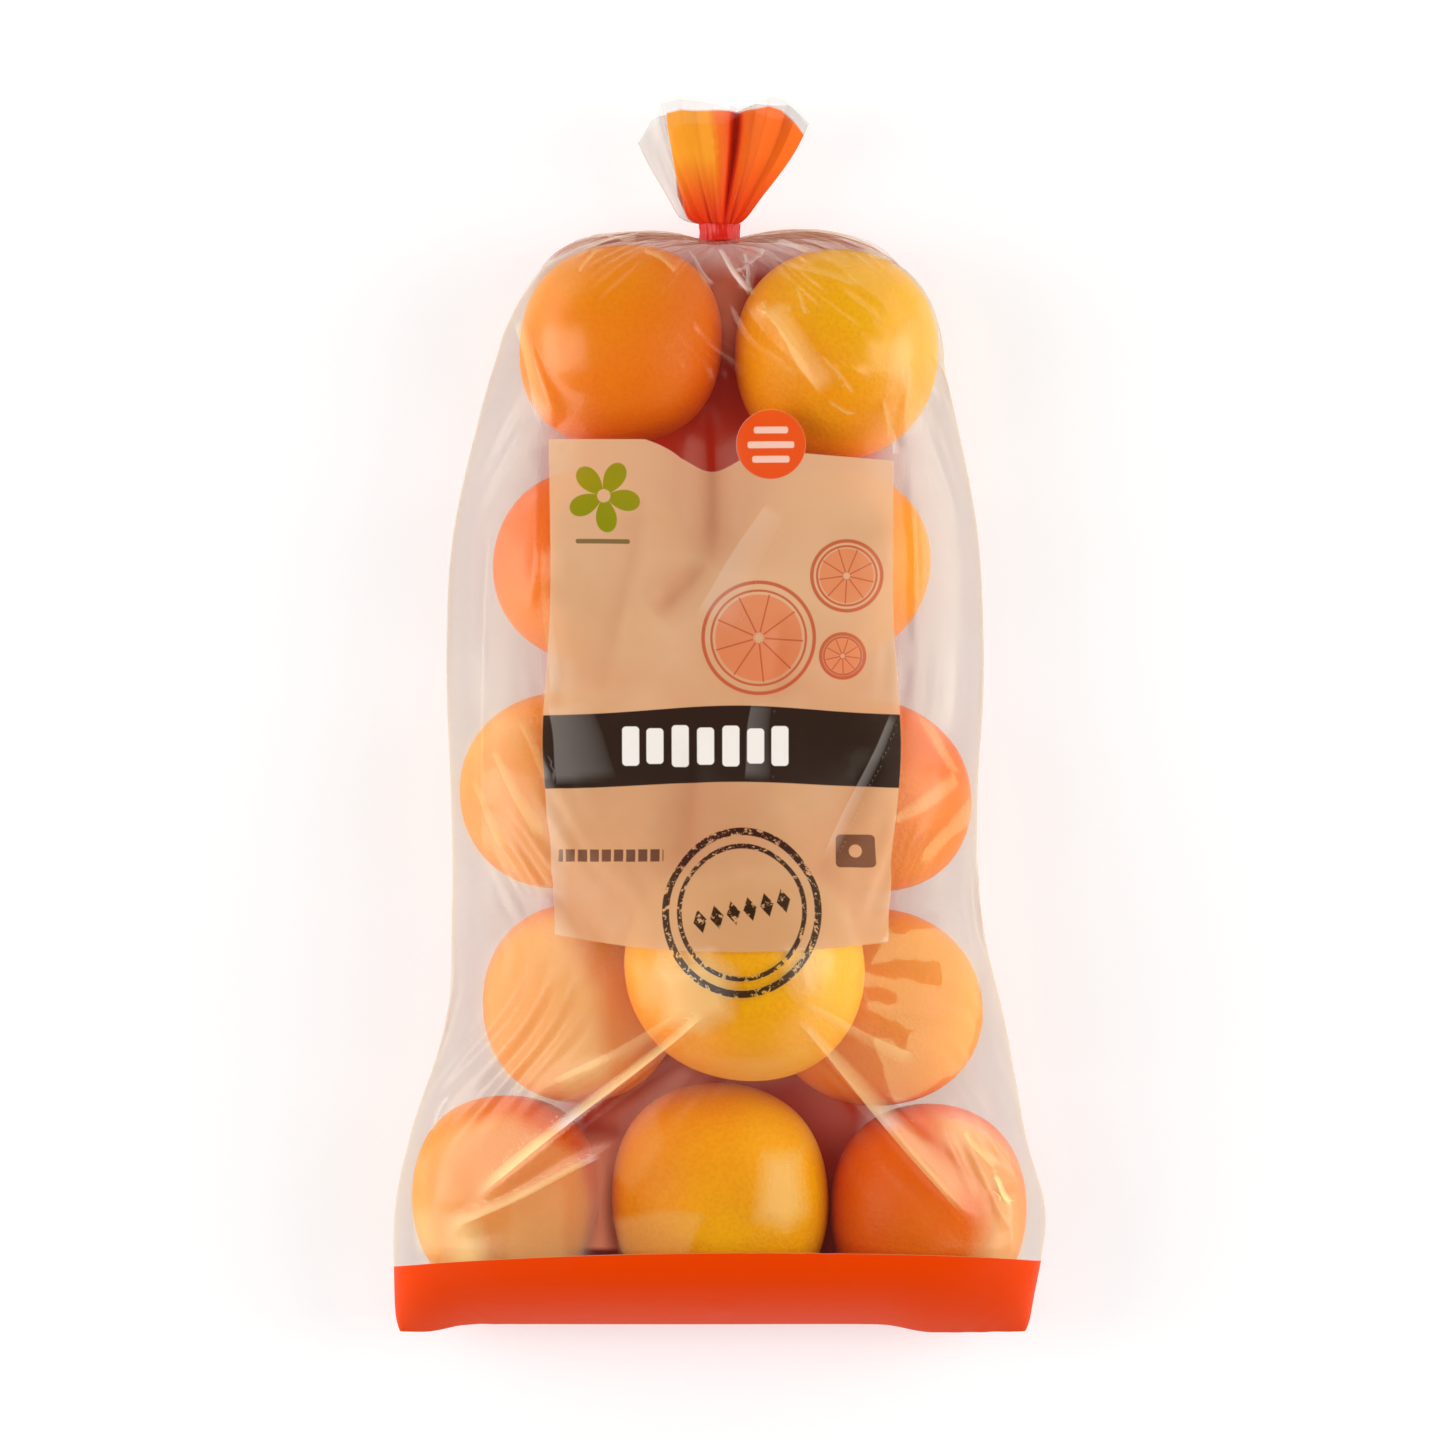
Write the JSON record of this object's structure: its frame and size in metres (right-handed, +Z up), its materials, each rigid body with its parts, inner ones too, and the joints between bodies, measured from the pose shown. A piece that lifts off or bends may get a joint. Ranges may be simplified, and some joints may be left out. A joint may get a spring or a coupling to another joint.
{
  "type": "bag of oranges",
  "caption": "Clear film bag of oranges lying on its back: knobbly body over the fruit, flat sealed foot, gathered neck with a tie, and a spread frill.",
  "frame": {"origin": "on the floor, under the middle of the bag's box", "axes": "+X across the bag to its right edge, +Y from the sealed foot to the frill, +Z up through the printed front"},
  "size_m": [0.2527, 0.4799, 0.1404],
  "materials": {
    "clear_film": "thin clear polyethylene film, slightly milky, glossy, creased",
    "kraft_print": "tan ink on the clear film, a little see-through, glossy",
    "dark_print": "black-brown ink on the clear film, glossy",
    "orange_print": "opaque orange ink on the clear film, glossy",
    "orange_peel": null,
    "tie_tape": "red plastic tape, glossy"
  },
  "bodies": {
    "root": {"bag": "clear_film", "neck_tie": "tie_tape"}
  },
  "joints": []
}
